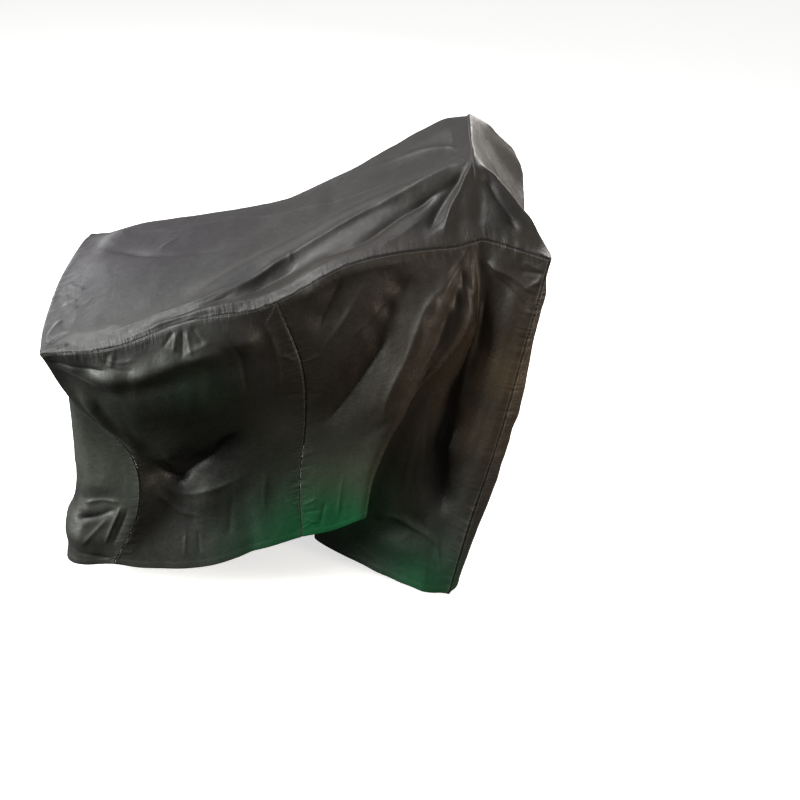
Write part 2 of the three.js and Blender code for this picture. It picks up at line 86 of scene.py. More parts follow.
# Creases in the cloth: a name, the width and height in millimetres, and the path in shares across and down
# its panel. A crease stands out (+) or dips in (-).
CREASES = {
    "top_panel": [
        ("hip line", 8, 10, [(0.864, 0.287), (0.9, 0.284), (0.945, 0.26), (0.985, 0.19)]),
        ("near ridge", 13, 8, [
            (0.873, 0.476), (0.837, 0.313), (0.68, 0.296), (0.613, 0.277), (0.561, 0.257), (0.513, 0.24),
            (0.458, 0.224), (0.402, 0.218), (0.346, 0.203), (0.288, 0.169), (0.232, 0.11),
        ]),
        ("streak above", 8, 3, [(0.62, 0.42), (0.53, 0.51), (0.44, 0.57), (0.34, 0.61), (0.26, 0.62)]),
        ("under the ridge", 16, -12, [
            (0.707, 0.239), (0.624, 0.205), (0.576, 0.176), (0.534, 0.131), (0.49, 0.107),
            (0.436, 0.132),
        ]),
        ("low trough", 10, -4, [(0.413, 0.151), (0.364, 0.137), (0.316, 0.092)]),
        ("streak below", 11, 3, [(0.608, 0.135), (0.569, 0.081), (0.536, 0.041)]),
        ("dark fold", 15, -12, [
            (0.819, 0.283), (0.695, 0.218), (0.646, 0.165), (0.622, 0.111), (0.612, 0.059),
        ]),
        ("bright fold", 9, 9, [
            (0.868, 0.424), (0.84, 0.283), (0.754, 0.212), (0.678, 0.155), (0.648, 0.099),
            (0.631, 0.036),
        ]),
        ("hip trough", 14, -12, [(0.869, 0.274), (0.891, 0.233), (0.912, 0.191), (0.941, 0.119)]),
        ("crinkle", 5, 1.2, [(0.654, 0.145), (0.618, 0.117)]),
        ("crinkle", 5, -1.2, [(0.648, 0.114), (0.61, 0.081)]),
        ("crinkle", 5, 1.2, [(0.64, 0.079), (0.604, 0.046)]),
        ("fan line", 7, 3, [(0.81, 0.4), (0.7, 0.53), (0.6, 0.61), (0.5, 0.66)]),
        ("brown panel", 26, -5, [(0.865, 0.245), (0.859, 0.132), (0.825, 0.033)]),
        ("low far ridge", 13, 6, [(0.02, 0.73), (0.11, 0.65), (0.2, 0.61), (0.3, 0.62)]),
        ("pinch", 6, 3, [(0.163, 0.525), (0.179, 0.552), (0.193, 0.572)]),
        ("dark band", 18, -7, [(0.068, 0.589), (0.168, 0.509), (0.262, 0.488)]),
        ("edge crinkle", 5, 2.5, [(0.025, 0.455), (0.062, 0.419)]),
        ("edge crinkle", 5, -2, [(0.026, 0.411), (0.062, 0.384)]),
        ("edge crinkle", 5, 2.5, [(0.026, 0.373), (0.059, 0.356)]),
        ("gather", 5, 4, [(0.01, 0.015), (0.029, 0.037), (0.052, 0.082)]),
        ("gather", 5, -3, [(0.011, 0.061), (0.032, 0.156), (0.053, 0.212)]),
        ("gather", 6, 3, [(0.009, 0.102), (0.022, 0.236), (0.034, 0.306)]),
        ("gather", 5, 3, [(0.073, 0.025), (0.119, 0.007)]),
        ("low line", 9, 3, [(0.32, 0.219), (0.236, 0.171), (0.167, 0.176), (0.099, 0.151)]),
        ("low line", 7, -3, [(0.309, 0.147), (0.241, 0.094), (0.182, 0.059)]),
        ("tick", 5, 2, [(0.394, 0.241), (0.397, 0.188)]),
        ("near seam roll", 16, 6, [(0.1, 0.06), (0.25, 0.06), (0.4, 0.055), (0.55, 0.05)]),
        ("far seam roll", 16, 5, [(0.1, 0.94), (0.3, 0.94), (0.55, 0.95)]),
        ("far ridge", 10, 4, [(0.84, 0.71), (0.62, 0.72), (0.42, 0.7), (0.26, 0.76)]),
        ("far drag", 9, -4, [(0.82, 0.77), (0.66, 0.83), (0.5, 0.88)]),
        ("far fold", 8, 4, [(0.84, 0.75), (0.74, 0.86), (0.68, 0.96)]),
        ("far hip line", 6, 5, [(0.872, 0.71), (0.91, 0.715), (0.95, 0.74), (0.985, 0.81)]),
        ("high end fold", 10, -4, [(0.89, 0.4), (0.94, 0.44), (0.98, 0.47)]),
        ("high end fold", 9, 4, [(0.89, 0.58), (0.94, 0.55), (0.98, 0.53)]),
    ],
    "near_side_low": [
        ("corner ridge", 8, 4.5, [(0.045, 0.065), (0.184, 0.126), (0.347, 0.175)]),
        ("corner crease", 6, -5, [(0.007, 0.035), (0.086, 0.056), (0.19, 0.068), (0.284, 0.079)]),
        ("crinkle", 5, 1.5, [(0.236, 0.024), (0.314, 0.058), (0.383, 0.062)]),
        ("crinkle", 5, -1.5, [(0.25, 0.058), (0.323, 0.084), (0.38, 0.095)]),
        ("star ray", 5, -2.2, [(0.518, 0.02), (0.477, 0.062)]),
        ("star ray", 5, 3.2, [(0.534, 0.021), (0.519, 0.086)]),
        ("star ray", 5, -3.2, [(0.55, 0.021), (0.554, 0.112)]),
        ("star ray", 5, 3.2, [(0.571, 0.022), (0.589, 0.104)]),
        ("star ray", 5, -2.4, [(0.588, 0.023), (0.641, 0.082)]),
        ("patch fold", 5, -2.4, [(0.272, 0.012), (0.259, 0.062)]),
        ("patch fold", 5, 2.4, [(0.292, 0.019), (0.284, 0.076)]),
        ("lit band", 7, 2.1, [(0.558, 0.095), (0.681, 0.074)]),
        ("pocket crease", 12, -10, [
            (0.213, 0.563), (0.31, 0.646), (0.45, 0.687), (0.624, 0.629), (0.708, 0.532), (0.825, 0.43),
        ]),
        ("front ridge", 12, 3, [(0.209, 0.669), (0.454, 0.742), (0.661, 0.731), (0.805, 0.668)]),
        ("front crease", 6, 2.1, [(0.855, 0.673), (0.834, 0.865)]),
        ("front crease", 5, 1.8, [(0.476, 0.878), (0.466, 0.964)]),
        ("front crease", 5, -1.8, [(0.55, 0.871), (0.544, 0.963)]),
        ("front trough", 8, -3, [(0.725, 0.768), (0.676, 0.931)]),
        ("front pull", 9, 2, [(0.151, 0.691), (0.412, 0.797), (0.599, 0.833)]),
        ("seam pull", 5, 2.1, [(0.982, 0.222), (0.93, 0.178)]),
        ("seam pull", 5, -2.1, [(0.975, 0.349), (0.907, 0.34)]),
        ("seam pull", 5, 2.1, [(0.992, 0.865), (0.922, 0.824)]),
        ("belly line", 9, -3, [(0.742, 0.046), (0.779, 0.156), (0.782, 0.315)]),
        ("belly line", 9, 3, [(0.919, 0.036), (0.92, 0.16), (0.888, 0.348)]),
        ("pocket hollow", 22, -6, [(0.332, 0.506), (0.513, 0.621), (0.674, 0.55), (0.771, 0.454)]),
        ("belly shoulder", 36, 18, [(0.06, 0.08), (0.3, 0.115), (0.52, 0.12), (0.75, 0.1), (0.98, 0.085)]),
    ],
    "near_side_high": [
        ("fan line", 7, 3, [(0.503, 0.01), (0.431, 0.048), (0.371, 0.109)]),
        ("fan edge", 6, 2.5, [(0.615, 0.01), (0.423, 0.088), (0.355, 0.174)]),
        ("long crest", 10, 4, [
            (0.481, 0.038), (0.343, 0.155), (0.297, 0.243), (0.28, 0.356), (0.274, 0.477),
            (0.308, 0.624),
        ]),
        ("panel trough", 14, -1.2, [(0.941, 0.123), (0.935, 0.286), (0.932, 0.468), (0.921, 0.699)]),
        ("corner line", 6, 1.2, [(0.972, 0.185), (0.968, 0.38), (0.965, 0.575)]),
        ("upper drag", 8, 2.5, [(0.324, 0.037), (0.261, 0.11), (0.186, 0.179), (0.108, 0.228)]),
        ("middle drag", 8, 3, [(0.236, 0.024), (0.146, 0.132), (0.047, 0.222)]),
        ("short drag", 7, -3.5, [(0.157, 0.027), (0.056, 0.16)]),
        ("long drag", 10, -4, [(0.23, 0.237), (0.181, 0.337), (0.114, 0.455), (0.04, 0.545)]),
        ("lobe edge", 6, 3, [(0.445, 0.52), (0.45, 0.62), (0.455, 0.75), (0.455, 0.88)]),
        ("lobe pull", 6, 1.8, [(0.193, 0.744), (0.195, 0.96)]),
        ("lobe hem pull", 6, -1.8, [(0.115, 0.856), (0.091, 0.976)]),
        ("pinch", 5, -4, [(0.43, 0.4), (0.45, 0.45), (0.45, 0.51)]),
        ("valley ridge", 10, 2, [(0.705, 0.501), (0.707, 0.643), (0.712, 0.755)]),
        ("valley crease", 8, -2, [(0.713, 0.456), (0.737, 0.595), (0.739, 0.724)]),
        ("foot ray", 5, 2, [(0.738, 0.832), (0.712, 0.797)]),
        ("foot ray", 5, -2, [(0.741, 0.824), (0.763, 0.778)]),
        ("foot ray", 5, 2, [(0.737, 0.841), (0.719, 0.878)]),
        ("foot shoulder", 11, 6, [(0.679, 0.841), (0.702, 0.813), (0.74, 0.828), (0.845, 0.867)]),
        ("foot line", 5, -3.5, [(0.747, 0.798), (0.783, 0.866)]),
        ("foot ridge", 8, 3, [(0.759, 0.777), (0.817, 0.851), (0.886, 0.943)]),
        ("foot ray", 5, -2, [(0.74, 0.848), (0.739, 0.901)]),
        ("gather ridge", 8, 6.5, [(0.783, 0.055), (0.893, 0.073), (0.987, 0.098)]),
        ("gather trough", 8, -5, [(0.821, 0.081), (0.913, 0.112), (0.984, 0.146)]),
        ("crumple", 5, 3, [(0.989, 0.038), (0.915, 0.029)]),
        ("crumple", 5, -3, [(0.991, 0.043), (0.908, 0.058)]),
        ("crumple", 5, 3, [(0.994, 0.052), (0.939, 0.096)]),
        ("crumple", 5, -2.5, [(0.992, 0.066), (0.98, 0.125)]),
        ("seam pull", 5, 2.1, [(0.014, 0.864), (0.075, 0.841)]),
        ("seam pull", 5, -1.8, [(0.013, 0.894), (0.093, 0.896)]),
        ("seam pull", 5, 2.1, [(0.016, 0.926), (0.078, 0.952)]),
        ("seam pull", 5, 1.8, [(0.012, 0.235), (0.052, 0.225)]),
        ("seam pull", 5, -1.8, [(0.006, 0.371), (0.052, 0.379)]),
        ("hem pull", 6, 1.8, [(0.677, 0.942), (0.695, 0.972)]),
        ("hem pull", 6, -2.1, [(0.722, 0.939), (0.734, 0.997)]),
        ("panel swell", 45, 20, [
            (0.786, 0.071), (0.773, 0.217), (0.808, 0.378), (0.833, 0.544), (0.845, 0.721),
        ]),
        ("seam roll", 18, 6, [(0.03, 0.03), (0.15, 0.03), (0.35, 0.03)]),
        ("pinch", 5, 3.5, [(0.47, 0.41), (0.465, 0.46), (0.46, 0.51)]),
    ],
    "far_side_low": [
        ("seam roll", 24, 8, [(0.15, 0.05), (0.45, 0.045), (0.9, 0.04)]),
        ("corner drag", 9, 4.5, [(0.04, 0.06), (0.2, 0.2), (0.35, 0.42)]),
        ("corner trough", 9, -4, [(0.04, 0.12), (0.16, 0.28), (0.28, 0.5)]),
        ("belly drag", 24, -10, [(0.06, 0.2), (0.3, 0.42), (0.6, 0.55), (0.95, 0.58)]),
        ("belly fold", 18, 8, [(0.08, 0.14), (0.34, 0.33), (0.62, 0.43), (0.95, 0.46)]),
        ("belly line", 9, 3, [(0.6, 0.05), (0.66, 0.2), (0.64, 0.42)]),
        ("hem flute", 26, 9, [(0.3, 0.58), (0.34, 0.8), (0.32, 0.99)]),
        ("hem trough", 24, -9, [(0.56, 0.66), (0.52, 0.85), (0.55, 0.99)]),
        ("seam flute", 22, 8, [(0.82, 0.62), (0.78, 0.8), (0.8, 0.99)]),
        ("hem pull", 7, 3, [(0.45, 0.84), (0.47, 0.97)]),
        ("seam pull", 6, 3, [(0.98, 0.3), (0.9, 0.27)]),
        ("seam pull", 6, -3, [(0.98, 0.72), (0.91, 0.74)]),
    ],
    "far_side_high": [
        ("fan ridge", 9, 5, [(0.5, 0.03), (0.42, 0.2), (0.3, 0.45), (0.2, 0.7)]),
        ("fan trough", 9, -5, [(0.55, 0.04), (0.48, 0.22), (0.36, 0.5)]),
        ("fan line", 7, 3, [(0.6, 0.03), (0.55, 0.16), (0.5, 0.34)]),
        ("upper drag", 8, 3.5, [(0.38, 0.03), (0.24, 0.16), (0.08, 0.34)]),
        ("short drag", 8, -3.5, [(0.26, 0.03), (0.12, 0.14), (0.04, 0.24)]),
        ("corner gather", 7, 4.5, [(0.8, 0.05), (0.9, 0.075), (0.98, 0.1)]),
        ("corner trough", 7, -4, [(0.82, 0.08), (0.91, 0.11), (0.97, 0.15)]),
        ("crumple", 5, 3, [(0.985, 0.04), (0.92, 0.03)]),
        ("crumple", 5, -3, [(0.985, 0.06), (0.93, 0.095)]),
        ("panel ridge", 10, 4, [(0.85, 0.12), (0.86, 0.4), (0.9, 0.7)]),
        ("hem pull", 8, -3, [(0.86, 0.85), (0.85, 0.97)]),
        ("seam pull", 6, 3, [(0.02, 0.52), (0.08, 0.5)]),
    ],
    "low_end": [
        ("ledge", 7, 4, [(0.239, 0.75), (0.154, 0.726), (0.075, 0.725)]),
        ("under the ledge", 13, -7, [(0.259, 0.813), (0.167, 0.793), (0.087, 0.747)]),
        ("foot light", 9, 3.5, [(0.114, 0.792), (0.153, 0.855), (0.188, 0.918)]),
        ("foot fold", 5, 4.5, [(0.074, 0.729), (0.09, 0.821), (0.093, 0.915)]),
        ("beside the fold", 8, -4, [(0.048, 0.735), (0.055, 0.828), (0.056, 0.929)]),
        ("foot dip", 8, -4, [(0.213, 0.94), (0.116, 0.961), (0.022, 0.977)]),
        ("near gather", 7, 4, [(0.03, 0.05), (0.1, 0.12), (0.22, 0.26)]),
        ("far gather", 7, 4, [(0.97, 0.05), (0.9, 0.12), (0.8, 0.3)]),
        ("far trough", 8, -4, [(0.97, 0.1), (0.88, 0.22), (0.82, 0.42)]),
        ("far drag", 24, 9, [(0.97, 0.08), (0.8, 0.26), (0.58, 0.48), (0.36, 0.62)]),
        ("far drag trough", 24, -10, [(0.97, 0.16), (0.85, 0.36), (0.68, 0.58), (0.48, 0.74)]),
        ("far fold", 20, 5, [(0.95, 0.3), (0.88, 0.5), (0.74, 0.74), (0.66, 0.97)]),
    ],
    "high_end": [
        ("near gather", 7, 4.5, [(0.02, 0.04), (0.1, 0.1), (0.2, 0.22)]),
        ("near trough", 8, -4, [(0.02, 0.08), (0.1, 0.2), (0.16, 0.36)]),
        ("far gather", 7, 4.5, [(0.98, 0.04), (0.9, 0.1), (0.8, 0.24)]),
        ("far trough", 8, -4, [(0.98, 0.08), (0.9, 0.2), (0.85, 0.38)]),
        ("near corner fold", 26, 12, [(0.03, 0.05), (0.12, 0.22), (0.19, 0.5), (0.2, 0.96)]),
        ("near flute", 32, -13, [(0.08, 0.03), (0.24, 0.2), (0.34, 0.5), (0.37, 0.97)]),
        ("middle flute", 34, 12, [(0.38, 0.1), (0.46, 0.4), (0.52, 0.7), (0.5, 0.98)]),
        ("middle trough", 30, -11, [(0.5, 0.08), (0.6, 0.38), (0.66, 0.7), (0.65, 0.98)]),
        ("far corner fold", 28, 12, [(0.97, 0.05), (0.86, 0.25), (0.79, 0.6), (0.81, 0.97)]),
        ("far drag", 14, 6, [(0.97, 0.07), (0.82, 0.15), (0.62, 0.19)]),
        ("far drag trough", 14, -6, [(0.97, 0.1), (0.83, 0.2), (0.66, 0.26)]),
        ("near drag", 12, 6, [(0.03, 0.06), (0.18, 0.13), (0.36, 0.16)]),
        ("hem pull", 8, 3, [(0.5, 0.85), (0.5, 0.97)]),
    ],
}

# Forms that come from noise have a shift each, so that no two of them follow the same noise.
# A crease's flanks fall away from a rounded tip, and it fades over a share of its path at both ends.
CREASE_STEPS = 10
CREASE_TIP = 0.35
CREASE_FALL = 1.5
CREASE_REACH = 4
CREASE_ENDS = 0.25
CREASE_UNEVEN = {"wavelength": 0.06, "shift": 3.1, "share": 0.5}

# The cloth rises steeply from a seam, then swells and puckers beside it, more in some stretches
SEAM_GAP = 0.3 * MM
SEAM_ROW = 0.4
SEAM_FADE = 14 * MM
SWELL = {"height": 2.4 * MM, "rise": 2.5 * MM, "reach": 22 * MM}
PUCKER = {"height": 1.7 * MM, "peak": 7 * MM, "wavelength": 0.016, "shift": 7.3, "least": 0.3}
PUCKER_STRETCH = {"wavelength": 0.11, "shift": 1.7, "level": 0.6}

# The hem is turned up in a band, and hangs in small waves
HEM = {
    "turn": 4, "thick": 1.2 * MM, "band": 15 * MM, "rise": 0.8 * MM, "edge": 5 * MM,
    "wave": 4 * MM, "wavelength": 0.075, "shift": 5.9, "reach": 0.06,
}

# The whole cloth is a little uneven, with long soft waves and crumples with sharp ridges
WAVES = {"wavelength": (0.11, 0.11, 0.24), "shift": 0.4, "height": 1.6 * MM}
CRUMPLES = [((0.12, 0.12, 0.2), 0.6 * MM), ((0.05, 0.05, 0.08), 0.35 * MM)]
CRUMPLE_SHIFT = 2.6
CRUMPLE_SLOPE = 4

# The cloth's own colour, and the painted light, shade and reflections laid over it at some places: a name,
# a colour, the place and the reach in metres, and the strength
CLOTH_COLOUR = "#2a2928"
PAINTED_LIGHT_AND_SHADE = [
    # Painted reflection: a purple tint where the top mirrors the sky
    ("painted purple sky reflection on the top", "#2b282e", (-0.95, 0.05, -0.36), 0.35, 0.8),
    # Painted shade with a green reflection, darkening the belly
    ("painted shade and green reflection on the belly", "#1c1f19", (-0.75, -0.32, -0.6), 0.28, 0.9),
    # Painted light with a green reflection, lightening the low end
    ("painted light and green reflection on the low end", "#343731", (-1.0, -0.2, -0.8), 0.22, 0.9),
    # Painted warm light: a brown tint on the side and at its corner
    ("painted warm light on the side", "#2e271e", (-0.1, -0.32, -0.45), 0.35, 0.8),
    ("painted warm light at the corner", "#30281e", (0.1, -0.3, -0.5), 0.3, 0.8),
    # Painted light with a green reflection, lightening the lobe
    ("painted light and green reflection on the lobe", "#444b3d", (-0.33, -0.3, -0.86), 0.16, 0.85),
    # Painted shade and shadow: darker in the pocket, under the ledge, at the foot, on the low front, by the
    # hip and on the slope by the bar
    ("dark pocket", "#0b0b0a", (-0.72, -0.23, -0.78), 0.1, 0.85),
    ("dark ledge", "#070707", (-1.075, -0.165, -0.95), 0.045, 0.9),
    ("dark foot", "#0a0a0a", (-1.055, -0.2, -0.985), 0.045, 0.9),
    ("dark front", "#191a17", (-0.82, -0.24, -1.04), 0.13, 0.6),
    ("dark hip", "#0f0c09", (0.05, -0.24, -0.11), 0.06, 0.85),
    ("dark slope", "#181614", (-0.095, -0.212, -0.12), 0.055, 0.65),
    # Painted light: a lighter band on the side below the seam
    ("lit seam side", "#3d3e35", (-0.49, -0.29, -0.645), 0.08, 0.75),
    # Painted shade: darker in the valley between the folds
    ("dark valley", "#12110d", (-0.13, -0.24, -0.83), 0.11, 0.7),
    # Painted warm light: lighter and browner on the ridge and at its foot
    ("painted warm light on the ridge", "#4c3f2d", (0.06, -0.285, -0.5), 0.075, 0.8),
    ("painted warm light at the foot of the ridge", "#43382a", (0.0, -0.29, -0.68), 0.075, 0.6),
    # Painted green reflections, strongest along the hem
    ("painted green reflection on the front hem", "#0f4c2c", (-0.56, -0.29, -1.1), 0.12, 0.6),
    ("painted green reflection on the hem by the seam", "#0e6038", (-0.42, -0.28, -1.02), 0.13, 0.9),
    ("painted green reflection on the lobe's hem", "#0e6038", (-0.33, -0.29, -0.97), 0.1, 0.8),
    ("painted green reflection on the foot's hem", "#0b4f2e", (-0.15, -0.33, -1.2), 0.13, 0.9),
    # Painted green reflection on the lower belly
    ("painted green reflection on the belly", "#1a3324", (-0.67, -0.35, -0.5), 0.08, 0.5),
]


# Grids of the panels' solids

MERGE = 0.005 * MM
RIM_EDGE = 2.5 * MM
INSIDE = Vector((-0.45, 0.0, -0.7))


def smoothstep(x):
    x = np.clip(x, 0, 1)
    return x * x * (3 - 2 * x)


def face_outwards(faces):
    """Whether faces look away from the inside of the cover, taken together."""
    return sum(f.calc_area() * f.normal.dot(f.calc_center_median() - INSIDE) for f in faces) > 0


def outer_skin(node):
    """The outer skin of a panel's solid, as a bmesh of triangles."""
    skin = bmesh.new()
    skin.from_mesh(node.data)
    bmesh.ops.remove_doubles(skin, verts=skin.verts, dist=MERGE)
    rim = {face for edge in skin.edges if edge.calc_length() < RIM_EDGE for face in edge.link_faces}
    bmesh.ops.delete(skin, geom=list(rim), context="FACES")
    skin.faces.ensure_lookup_table()
    one_side = [skin.faces[0]]
    reached = set(one_side)
    for face in one_side:
        for beside in {f for edge in face.edges for f in edge.link_faces} - reached:
            reached.add(beside)
            one_side.append(beside)
    other_side = [face for face in skin.faces if face not in reached]
    inner = other_side if face_outwards(one_side) else one_side
    bmesh.ops.delete(skin, geom=inner, context="FACES")
    return skin


def third_corner(edge, without):
    """The corner of a triangle on an edge that isn't among the given vertices."""
    corners = [v for face in edge.link_faces for v in face.verts if v not in edge.verts]
    return next(v for v in corners if v not in without)


def edge_between(a, b):
    return next(edge for edge in a.link_edges if edge.other_vert(a) is b)


def point_grid(skin, first, across):
    """A skin's points as an array of columns and rows. Every cell of the grid is two triangles."""
    corners = [v for v in skin.verts if len(v.link_faces) < 3]
    start = max(corners, key=lambda v: v.co.dot(Vector(first)))
    along_rim = {v: [e.other_vert(v) for e in v.link_edges if e.is_boundary] for v in skin.verts}
    row = [start, max(along_rim[start], key=lambda v: (v.co - start.co).dot(Vector(across)))]
    while row[-1] not in corners:
        row.append(next(v for v in along_rim[row[-1]] if v not in row))
    rows = [row]
    used = set(row)
    while True:
        below = [v for v in along_rim[rows[-1][0]] if v not in used]
        if not below:
            break
        row = below[:1]
        for left, right in zip(rows[-1], rows[-1][1:]):
            corner = third_corner(edge_between(left, right), used)
            if corner is row[-1]:
                corner = third_corner(edge_between(right, row[-1]), {left})
            row.append(corner)
        used.update(row)
        rows.append(row)
    return np.array([[v.co for v in row] for row in rows]).transpose(1, 0, 2)


def spline_weights(count, steps):
    """Weights that carry count points to a smooth curve through them, with so many steps between two."""
    points = np.eye(count)
    slopes = np.gradient(points, axis=0)
    places = np.arange((count - 1) * steps + 1) / steps
    i = np.minimum(places.astype(int), count - 2)
    s = (places - i)[:, None]
    rise = smoothstep(s)
    start = s * (1 - s) ** 2
    end = s * s * (s - 1)
    return points[i] * (1 - rise) + points[i + 1] * rise + slopes[i] * start + slopes[i + 1] * end


def refined(grid, steps):
    """A grid of points with so many steps across and down between two of its points."""
    across, down = (spline_weights(size, step) for size, step in zip(grid.shape, steps))
    return np.einsum("ai,bj,ijk->abk", across, down, grid)


# Forms on a fine grid of points

def unit(vectors):
    return vectors / np.maximum(np.linalg.norm(vectors, axis=-1, keepdims=True), TINY)


def outward(points):
    """Normals of a grid of points, away from the inside of the cover."""
    normals = unit(np.cross(np.gradient(points, axis=0), np.gradient(points, axis=1)))
    flux = (normals * (points - np.array(INSIDE))).sum()
    return normals * np.sign(flux)


def lengths_from(points, axis):
    """How far along the cloth each point lies from the first one in its column or row."""
    steps = np.linalg.norm(np.diff(points, axis=axis), axis=2)
    start = np.zeros_like(np.take(steps, [0], axis=axis))
    return np.cumsum(np.concatenate([start, steps], axis=axis), axis=axis)


def distances_to_edges(points):
    """How far along the cloth each point lies from the panel's four edges."""
    from_left = lengths_from(points, 0)
    from_top = lengths_from(points, 1)
    return {
        "left": from_left,
        "right": from_left[-1:] - from_left,
        "top": from_top,
        "hem": from_top[:, -1:] - from_top,
    }


# Each edge of a grid of points, and the row or column inside it
EDGES = {
    "left": (np.s_[:1], np.s_[1:2]),
    "right": (np.s_[-1:], np.s_[-2:-1]),
    "top": (np.s_[:, :1], np.s_[:, 1:2]),
    "hem": (np.s_[:, -1:], np.s_[:, -2:-1]),
}


def with_seam_rows(points, sewn):
    """The points with one more row or column close beside each sewn edge."""
    for side in sewn:
        edge, inside = EDGES[side]
        beside = points[edge] * (1 - SEAM_ROW) + points[inside] * SEAM_ROW
        axis = 0 if side in ("left", "right") else 1
        at = 1 if side in ("left", "top") else points.shape[axis] - 1
        points = np.insert(points, [at], beside, axis=axis)
    return points


def sewn_shut(points, sewn):
    """The points with their sewn edges drawn out to the seams."""
    drawn = points.copy()
    for side in sewn:
        edge, inside = EDGES[side]
        drawn[edge] += unit(points[edge] - points[inside]) * SEAM_GAP / 2
    return drawn


def noise_at(points, wavelength, shift):
    """Smooth noise from about -1 to 1 at each point, with a wavelength in metres along each axis."""
    places = points / np.array(wavelength) + shift
    flat = [noise.noise(place) for place in places.reshape(-1, 3)]
    return np.array(flat).reshape(points.shape[:-1])


def sampled(points, shares):
    """The places on a grid of points at the given shares across and down it."""
    last = np.array(points.shape[:2]) - 1
    places = np.clip(shares, 0, 1) * last
    low = np.minimum(places.astype(int), last - 1)
    i, j = low.T
    across, down = (places - low).T[:, :, None]
    above = points[i, j] * (1 - across) + points[i + 1, j] * across
    below = points[i, j + 1] * (1 - across) + points[i + 1, j + 1] * across
    return above * (1 - down) + below * down


def nearest_on_line(points, line):
    """How far each point lies from a line of straight pieces, and the share along it where that is."""
    nearest = np.full(len(points), np.inf)
    along = np.zeros(len(points))
    for k, (start, end) in enumerate(zip(line, line[1:])):
        step = end - start
        part = np.clip((points - start) @ step / (step @ step), 0, 1)
        distance = np.linalg.norm(points - start - part[:, None] * step, axis=1)
        closer = distance < nearest
        nearest[closer] = distance[closer]
        along[closer] = (k + part[closer]) / (len(line) - 1)
    return nearest, along


def crease_lift(points, width, height, path):
    """How far a crease lifts each point of a grid."""
    line = sampled(points, spline_weights(len(path), CREASE_STEPS) @ np.array(path))
    reach = CREASE_REACH * width
    near = ((points > line.min(axis=0) - reach) & (points < line.max(axis=0) + reach)).all(axis=2)
    distance, along = nearest_on_line(points[near], line)
    flank = np.sqrt((distance / width) ** 2 + CREASE_TIP ** 2) - CREASE_TIP
    ends = smoothstep(along / CREASE_ENDS) * smoothstep((1 - along) / CREASE_ENDS)
    drift = noise_at(points[near], CREASE_UNEVEN["wavelength"], CREASE_UNEVEN["shift"])
    uneven = 1 + CREASE_UNEVEN["share"] * drift
    lift = np.zeros(points.shape[:2])
    lift[near] = height * np.exp(-CREASE_FALL * flank) * ends * uneven
    return lift


def pucker_lift(points, side, away):
    """How far the cloth swells and puckers beside a seam on one side of its panel."""
    seam = points[EDGES[side][0]]
    ripple = noise_at(seam, PUCKER["wavelength"], PUCKER["shift"])
    stretch = noise_at(seam, PUCKER_STRETCH["wavelength"], PUCKER_STRETCH["shift"])
    strength = PUCKER["least"] + smoothstep(stretch + PUCKER_STRETCH["level"])
    swell = SWELL["height"] * (1 - np.exp(-away / SWELL["rise"])) * np.exp(-away / SWELL["reach"])
    x = away / PUCKER["peak"]
    return swell + PUCKER["height"] * ripple * strength * x * np.exp(1 - x)


def hem_lift(points, away):
    """How far the turned hem stands out and its waves swing."""
    band = HEM["rise"] * (1 - smoothstep((away - HEM["band"]) / HEM["edge"]))
    swing = HEM["wave"] * noise_at(points[EDGES["hem"][0]], HEM["wavelength"], HEM["shift"])
    return band + swing * np.exp(-away / HEM["reach"])


def turned_up(points):
    """The points with the hem turned up behind them, by some rows."""
    behind = points - outward(points) * HEM["thick"]
    return np.concatenate([points, behind[:, -1:-1 - HEM["turn"]:-1]], axis=1)


def beside_seams(away, sewn, stitched):
    """Each point's place along its nearest seam, its distance from it, and 1 where that is stitched."""
    nearest = np.argmin([away[side] for side in sewn], axis=0)
    along = np.array([away["top" if side in ("left", "right") else "left"] for side in sewn])
    places = [np.choose(nearest, rows) for rows in (along, [away[side] for side in sewn])]
    flags = np.array([float(side in stitched) for side in sewn])
    return np.stack([*places, flags[nearest]], axis=-1)


def draped(name, points, sewn, stitched):
    """A panel's points with its creases, puckers and hem, and where each lies beside the seams."""
    points = with_seam_rows(points, sewn)
    away = distances_to_edges(points)
    lift = sum(crease_lift(points, width * MM, height * MM, path)
               for _, width, height, path in CREASES[name])
    lift += WAVES["height"] * noise_at(points, WAVES["wavelength"], WAVES["shift"])
    for wavelength, height in CRUMPLES:
        lift += height * (1 - CRUMPLE_SLOPE * np.abs(noise_at(points, wavelength, CRUMPLE_SHIFT)))
    if "hem" not in sewn:
        lift += hem_lift(points, away["hem"])
    from_seam = np.minimum.reduce([away[side] for side in sewn])
    lift *= smoothstep(from_seam / SEAM_FADE)
    for side in sewn:
        lift += pucker_lift(points, side, away[side])
    cloth = sewn_shut(points + outward(points) * lift[:, :, None], sewn)
    beside = beside_seams(away, sewn, stitched)
    if "hem" in sewn:
        return cloth, beside
    return turned_up(cloth), np.pad(beside, ((0, 0), (0, HEM["turn"]), (0, 0)), "edge")


# Sheets

def linear(hex_colour):
    """An sRGB hex colour as linear RGBA."""
    channels = [int(hex_colour[i:i + 2], 16) / 255 for i in (1, 3, 5)]
    return [c / 12.92 if c <= 0.04045 else ((c + 0.055) / 1.055) ** 2.4 for c in channels] + [1]


def colours_with_painted_light(points):
    """The cloth's colour at each point, with the painted light, shade and reflections over it, as linear
    RGBA.
    """
    colours = np.tile(linear(CLOTH_COLOUR), (len(points), 1))
    for _, colour, place, reach, strength in PAINTED_LIGHT_AND_SHADE:
        share = strength * np.exp(-((points - np.array(place)) ** 2).sum(axis=1) / reach ** 2)
        colours += share[:, None] * (np.array(linear(colour)) - colours)
    return colours


